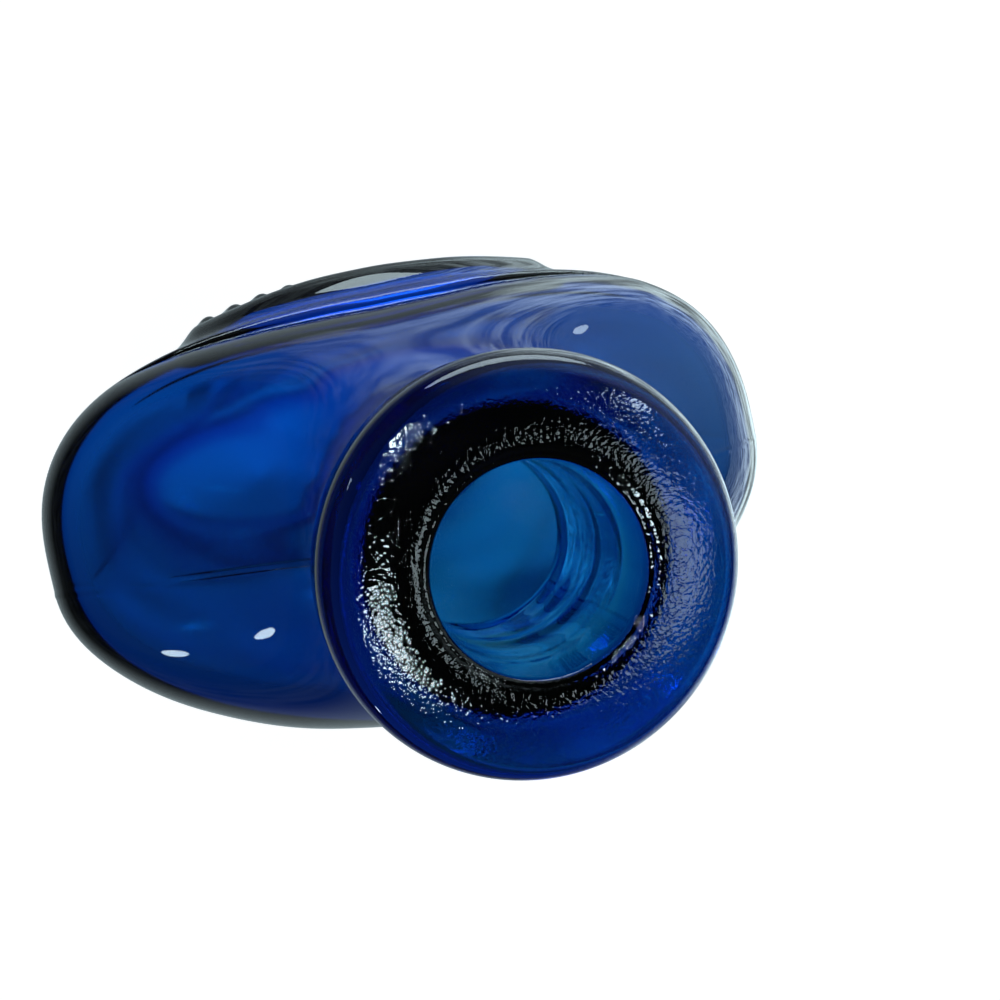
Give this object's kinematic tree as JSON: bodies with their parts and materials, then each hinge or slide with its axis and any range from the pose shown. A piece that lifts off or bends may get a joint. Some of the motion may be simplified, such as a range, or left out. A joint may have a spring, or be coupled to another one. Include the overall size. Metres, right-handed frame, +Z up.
{
  "type": "poison bottle",
  "caption": "Oval cobalt blue glass poison bottle with a raised ribbed front panel, sloping shoulders, round neck and a flanged lip ring.",
  "frame": {"origin": "on the resting plane, at the centre line of the neck and bore", "axes": "+Z up along the bore and out of the mouth, -Y out of the raised front panel, X across the width of the oval"},
  "size_m": [0.079, 0.0504, 0.188],
  "materials": {
    "moulded_glass": "glossy",
    "lip_glass": "glossy"
  },
  "bodies": {
    "root": {"vessel": "moulded_glass", "lip_ring": "lip_glass"}
  },
  "joints": []
}
